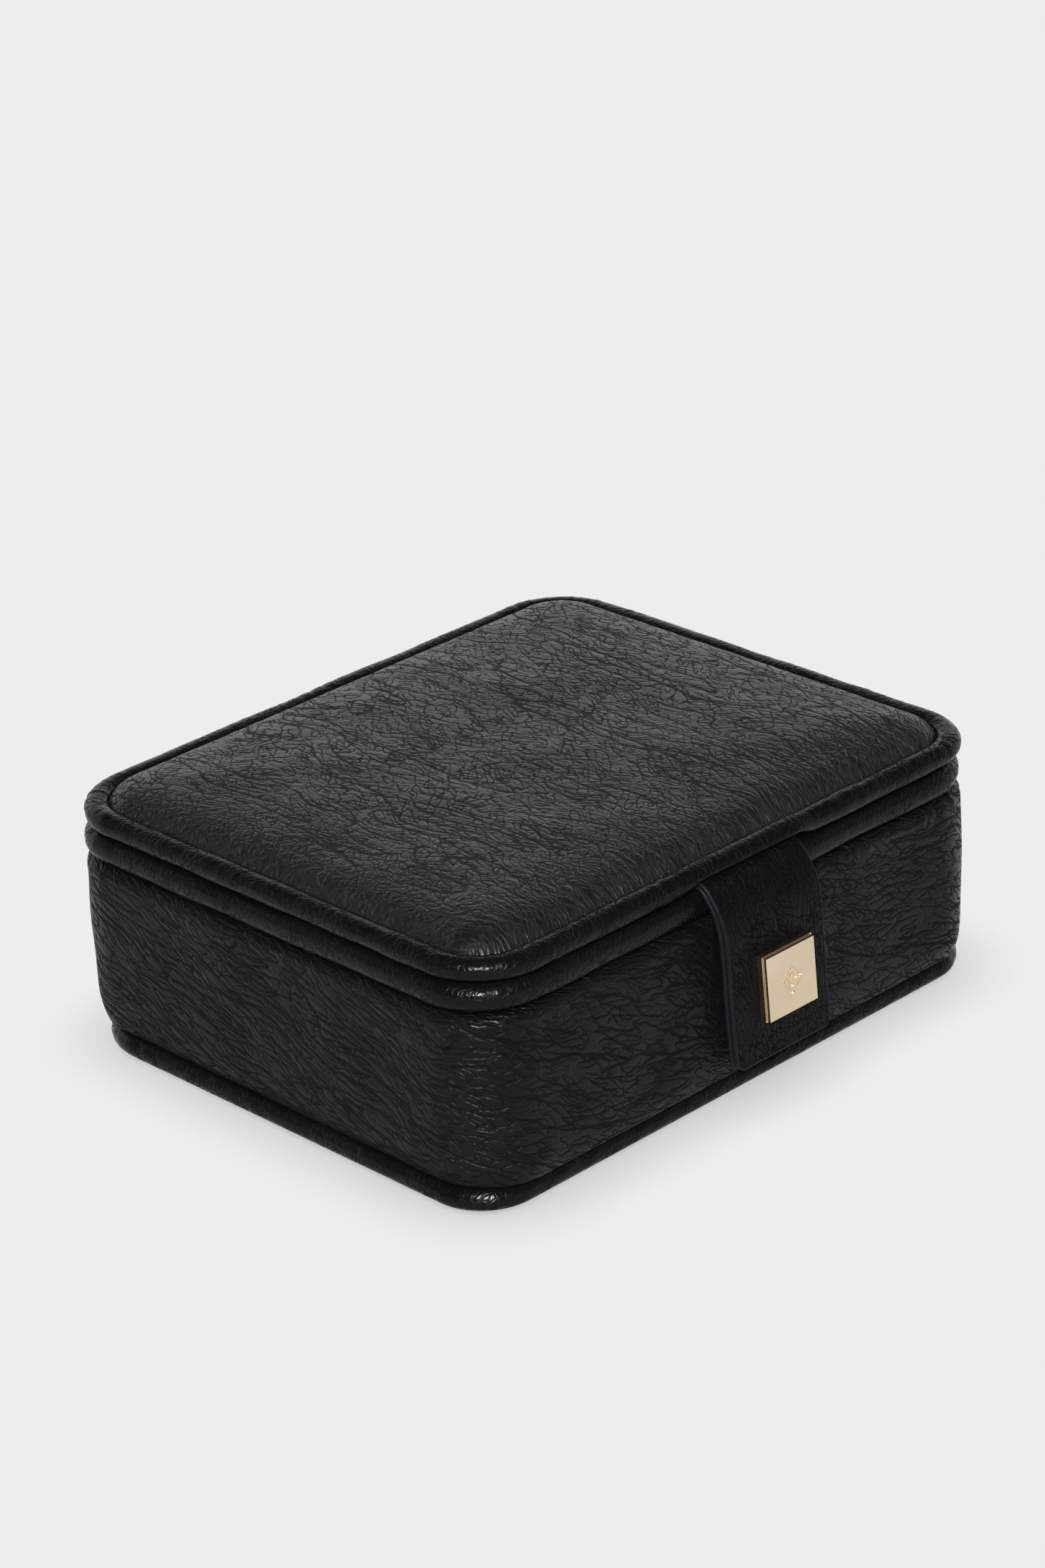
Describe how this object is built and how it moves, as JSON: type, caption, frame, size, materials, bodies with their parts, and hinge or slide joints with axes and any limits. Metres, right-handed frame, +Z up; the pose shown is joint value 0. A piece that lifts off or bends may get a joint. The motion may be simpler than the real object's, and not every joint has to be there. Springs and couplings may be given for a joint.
{
  "type": "jewellery and vanity case",
  "caption": "Rectangular leather-covered case with rounded corners, padded hinged lid with a mirror, divided interior and a magnetic strap closure with a metal plate.",
  "frame": {"origin": "centre of the case's flat underside", "axes": "+Z up, -Y towards the front with the strap, +X to the right as the front is faced; the lid's hinge runs along X at the back"},
  "size_m": [0.1506, 0.1363, 0.0598],
  "materials": {
    "leather": "fine pebbled grain, satin",
    "board": "matte",
    "foam": "matte",
    "suede": "short nap suede",
    "gold": "polished pale gold plating",
    "steel": "nickel plated",
    "mirror": "silvered glass"
  },
  "bodies": {
    "base": {"bottom_cover": "leather", "bottom_board": "board", "wall_cover": "leather", "wall_board": "board", "wall_magnet": "steel", "wall_lining": "suede", "floor_board": "board", "floor_pad": "suede", "divider_long": "suede", "divider_front": "suede", "divider_back": "suede", "ring_roll_1": "suede", "ring_roll_2": "suede", "ring_roll_3": "suede", "ring_roll_4": "suede", "hinge_leaf_base": "leather", "gusset_base": "suede"},
    "lid": {"lid_frame_cover": "leather", "lid_frame_board": "board", "lid_rim_cover": "leather", "lid_top_board": "board", "lid_foam": "foam", "lid_top_panel": "leather", "lid_lining": "suede", "mirror_frame": "leather", "mirror_glass": "mirror", "hinge_leaf_lid": "leather", "gusset_lid": "suede", "strap_root": "leather"},
    "strap": {"strap_outer": "leather", "strap_lining": "leather", "strap_magnet": "steel", "clasp_plate_base": "gold", "clasp_plate_face": "gold"}
  },
  "joints": [
    {"name": "lid_hinge", "type": "hinge", "parent": "base", "child": "lid", "pos_m": [0, 0.0647, 0.0432], "axis": [-1, 0, 0], "range_deg": [0, 105]},
    {"name": "strap_hinge", "type": "hinge", "parent": "lid", "child": "strap", "pos_m": [0, -0.0653, 0.0478], "axis": [-1, 0, 0], "range_deg": [0, 110]}
  ]
}
